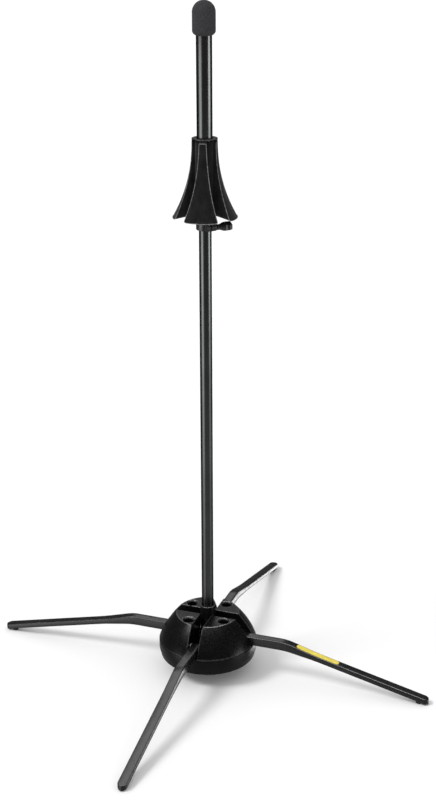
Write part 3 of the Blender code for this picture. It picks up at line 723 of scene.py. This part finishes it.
class Petal:
    """One petal: an outer leaf that rolls over at both edges into flanges running in to the hub."""

    def __init__(self):
        self.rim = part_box("petal_1")[0].z
        self.cone_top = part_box("crown_ring")[1].z
        self.top = self.cone_top - CROWN_LIP - PETAL_TOP_GAP
        self.hub_r = outer_radius("cone_hub") + CLEARANCE

    def radius(self, z):
        """The cone's outer radius at height z."""
        t = (self.cone_top - z) / (self.cone_top - self.rim)
        return PETAL_TOP_R + (PETAL_RIM_R - PETAL_TOP_R) * max(t, 0) ** PETAL_FLARE

    def section(self, z):
        """The channel's outline at height z, as (x, y) with the petal's middle on +X."""
        r = self.radius(z)
        t = (self.top - z) / (self.top - self.rim)
        half = PETAL_HALF_TOP + (PETAL_HALF_RIM - PETAL_HALF_TOP) * t
        turn = min(PETAL_EDGE_ROUND, 0.42 * (r - self.hub_r))
        wall = min(PETAL_WALL, 0.6 * (r - self.hub_r))
        outer = self.edge_line(r, half, turn)
        inner_turn = max(turn - wall, 0.15 * MM)
        inner = self.edge_line(r - wall, half - wall / (r - wall), inner_turn)
        return outer + list(reversed(inner))

    def edge_line(self, r, half, turn):
        """From one flange's end, out and over the leaf's arc, and in along the other flange."""
        lean = turn / (r - turn)
        centre_angle = half - math.asin(min(lean, 0.9))
        centre = Vector((math.cos(centre_angle), math.sin(centre_angle))) * (r - turn)
        roll = []
        for step in range(EDGE_STEPS + 1):
            # From the leaf's arc round to the flange's plane
            angle = centre_angle + (half + math.pi / 2 - centre_angle) * step / EDGE_STEPS
            roll.append(centre + Vector((math.cos(angle), math.sin(angle))) * turn)
        flange = []
        out_r = roll[-1].length
        for step in range(1, FLANGE_STEPS + 1):
            reach = out_r + (self.hub_r - out_r) * step / FLANGE_STEPS
            flange.append(Vector((reach * math.cos(half), reach * math.sin(half))))
        angles = [centre_angle * step / LEAF_STEPS for step in range(1 - LEAF_STEPS, LEAF_STEPS)]
        leaf = [Vector((r * math.cos(a), r * math.sin(a))) for a in angles]
        left = [Vector((p.x, -p.y)) for p in roll + flange]
        return list(reversed(left)) + leaf + roll + flange

    def end_height(self, point, z_rim):
        """The lower end's height at a section point. Its corners are round and the flanges rise inwards."""
        r = point.length
        inwards = max(0, PETAL_RIM_R - PETAL_EDGE_ROUND - r) / (PETAL_RIM_R - self.hub_r)
        inside = (PETAL_HALF_RIM - abs(math.atan2(point.y, point.x))) * PETAL_RIM_R
        corner = 0
        if inside < PETAL_CORNER:
            reach = PETAL_CORNER - max(inside, 0)
            corner = PETAL_CORNER - math.sqrt(max(PETAL_CORNER ** 2 - reach ** 2, 0))
        return z_rim + PETAL_RIM_RISE * inwards + PETAL_CORNER_DEPTH * corner

    def rings(self, steps=30):
        """Sections from top to rim. Each lengthwise line has its own lower end."""
        ends = [self.end_height(point, self.rim) for point in self.section(self.rim)]
        rings = []
        for step in range(steps + 1):
            t = step / steps
            ring = []
            for index, end in enumerate(ends):
                z = self.top + (end - self.top) * t
                point = self.section(z)[index]
                ring.append((point.x, point.y, z))
            rings.append(ring)
        return rings


def make_petals():
    """The four petals, each with a pale bead along its edges: painted highlight."""
    rings = Petal().rings()
    points, faces = lofted(rings)
    for number in range(4):
        turn = Matrix.Rotation(PETAL_TURN + number * math.pi / 2, 3, "Z")
        placed = [turn @ Vector(p) for p in points]
        name = f"petal_{number + 1}"
        piece(f"{name}_skin", placed, faces, "flock", "mast", name, sharp=60)
        path = [ring[SEAM_LEFT] for ring in rings[1:]]
        path += rings[-1][SEAM_LEFT + 1:SEAM_RIGHT]
        path += [ring[SEAM_RIGHT] for ring in reversed(rings[1:])]
        path += reversed(rings[1][SEAM_LEFT + 1:SEAM_RIGHT])
        bead(f"{name}_seam", [turn @ Vector(p) for p in path])


def bead(name, path):
    """A thin round bead along a closed path."""
    rings = []
    count = len(path)
    for index, point in enumerate(path):
        along = (path[(index + 1) % count] - path[index - 1]).normalized()
        out = Vector((point.x, point.y, 0)).normalized()
        out = (out - along * out.dot(along)).normalized()
        side = along.cross(out)
        angles = [2 * math.pi * step / BEAD_SIDES for step in range(BEAD_SIDES)]
        rings.append([point + (out * math.cos(a) + side * math.sin(a)) * BEAD_R for a in angles])
    points = [p for ring in rings for p in ring]
    faces = grid_faces(count, BEAD_SIDES, closed_rows=True)
    # The bead's pale material is painted highlight along the petal's edge.
    piece(name, points, faces, "flock", "mast", material=PAINTED_SEAM_HIGHLIGHT)


# ---------------------------------------------------------------- legs

PIVOT_R = 38 * MM
PIVOT_Z = 41.6 * MM
KNEE_R = 90.9 * MM
KNEE_BLEND = 7 * MM
TIP_R = 244.7 * MM
TIP_Z = 4.9 * MM
TAPER_END_R = 132 * MM
LEG_HALF_WIDTH = 4.9 * MM
LEG_HALF_HIGH = 5.0 * MM
LEG_HALF_LOW = 3.0 * MM
LEG_CORNER = 1.0 * MM
LABEL_START_R = 103 * MM
LABEL_END_R = 150 * MM
LABEL_HALF_WIDTH = 3.4 * MM
LABEL_THICK = 0.16 * MM
LABEL_LIFT = 0.04 * MM
LABEL_CORNER = 1.2 * MM
LABEL_STEPS = 24
FOOT_R = 3.2 * MM
FOOT_EDGE_ROUND = 0.8 * MM
FOOT_BORE = 0.2 * MM
FOOT_SIDES = 32


def leg_middle_z(r):
    """The leg's middle line: level, then a slope, joined by a short curve at the knee."""
    slope = (TIP_Z - PIVOT_Z) / (TIP_R - KNEE_R)
    past = r - KNEE_R
    if past <= -KNEE_BLEND:
        return PIVOT_Z
    if past >= KNEE_BLEND:
        return PIVOT_Z + slope * past
    return PIVOT_Z + slope * (past + KNEE_BLEND) ** 2 / (4 * KNEE_BLEND)


def leg_half_height(r):
    """Half the leg's height, which falls smoothly from the knee to the end of the taper."""
    t = (r - KNEE_R + KNEE_BLEND) / (TAPER_END_R - KNEE_R + KNEE_BLEND)
    return LEG_HALF_HIGH + (LEG_HALF_LOW - LEG_HALF_HIGH) * smooth_step(t)


def bar_section(r, middle, half_width, half_height):
    """A round-cornered section across the leg."""
    radius = min(LEG_CORNER, 0.9 * half_width, 0.9 * half_height)
    corners = [(half_width, half_height, radius), (-half_width, half_height, radius),
               (-half_width, -half_height, radius), (half_width, -half_height, radius)]
    return [Vector((r, y, middle + z)) for y, z in rounded(corners)]


def leg_sections():
    """Sections from the round heel behind the pivot, past the knee, to the round tip."""
    sections = []
    for step in range(8):
        angle = math.radians(84 - 12 * step)
        r = PIVOT_R - LEG_HALF_HIGH * math.sin(angle)
        half_height = LEG_HALF_HIGH * math.cos(angle)
        sections.append(bar_section(r, PIVOT_Z, LEG_HALF_WIDTH, half_height))
    stations = [PIVOT_R, KNEE_R - 16 * MM]
    stations += [KNEE_R + (step - 8) * MM for step in range(17)]
    stations += [KNEE_R + (12 + 6 * step) * MM for step in range(6)]
    stations += [TAPER_END_R + 10 * MM, TIP_R - 40 * MM]
    for r in stations:
        sections.append(bar_section(r, leg_middle_z(r), LEG_HALF_WIDTH, leg_half_height(r)))
    for step in range(10):
        angle = math.radians(9.2 * step)
        r = TIP_R + LEG_HALF_WIDTH * math.sin(angle)
        half_width = LEG_HALF_WIDTH * math.cos(angle)
        sections.append(bar_section(r, leg_middle_z(r), half_width, LEG_HALF_LOW))
    return sections


def make_legs():
    """The four bars."""
    points, faces = lofted(leg_sections())
    for number in range(1, 5):
        turn = Matrix.Rotation((number - 1) * math.pi / 2, 3, "Z")
        name = f"leg_{number}"
        placed = [turn @ p for p in points]
        piece(f"{name}_bar", placed, faces, "leg_black", f"{name}_body", name, sharp=50)


def make_feet():
    """Small round rubber pads under the tips."""
    for number in range(1, 5):
        node = f"leg_{number}_foot"
        low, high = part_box(node)
        middle = (low + high) / 2
        profile = [(FOOT_BORE, 0)]
        profile += arc(FOOT_R - FOOT_EDGE_ROUND, FOOT_EDGE_ROUND, FOOT_EDGE_ROUND, -80, 0, 4)
        profile += [(FOOT_R, high.z), (FOOT_BORE, high.z)]
        points, faces = turned(profile, FOOT_SIDES)
        placed = [(x + middle.x, y + middle.y, z) for x, y, z in points]
        piece(f"{node}_pad", placed, faces, "rubber", f"leg_{number}_body", node)


def make_label():
    """Plain film with round corners, lying on the first leg's upper face."""
    sections = []
    for step in range(LABEL_STEPS + 1):
        r = LABEL_START_R + (LABEL_END_R - LABEL_START_R) * step / LABEL_STEPS
        from_end = min(r - LABEL_START_R, LABEL_END_R - r)
        half = LABEL_HALF_WIDTH
        if from_end < LABEL_CORNER:
            inset = LABEL_CORNER - from_end
            half -= LABEL_CORNER - math.sqrt(LABEL_CORNER ** 2 - inset ** 2)
        low = leg_middle_z(r) + leg_half_height(r) + LABEL_LIFT
        high = low + LABEL_THICK
        sections.append([(r, half, low), (r, half, high), (r, -half, high), (r, -half, low)])
    piece("plain_label", *lofted(sections), "label", "leg_1_body", "leg_label")


# ---------------------------------------------------------------- CAD nodes that show

SMALL_EDGE = 0.2 * MM
SOFT_EDGES = {
    "bottom_cover": 0.4 * MM,
    "clamp_collar": 0.35 * MM,
    "wing_knob": 0.5 * MM,
    "clamp_screw": 0.25 * MM,
    "centre_bolt": 0.3 * MM,
}


def dress_cad_nodes():
    """Every CAD node takes its slot's material and slightly rounded edges."""
    for part in frame["record"]["subparts"]:
        node = nodes[part["node"]]
        node.data.materials.clear()
        node.data.materials.append(MATERIALS[part["material_slot"]])
        soften(node, SOFT_EDGES.get(part["node"], SMALL_EDGE), segments=2)


make_camera()
make_studio()
dress_cad_nodes()
make_dome()
make_tray()
make_tubes()
make_nose()
make_crown()
make_petals()
make_legs()
make_label()
make_feet()
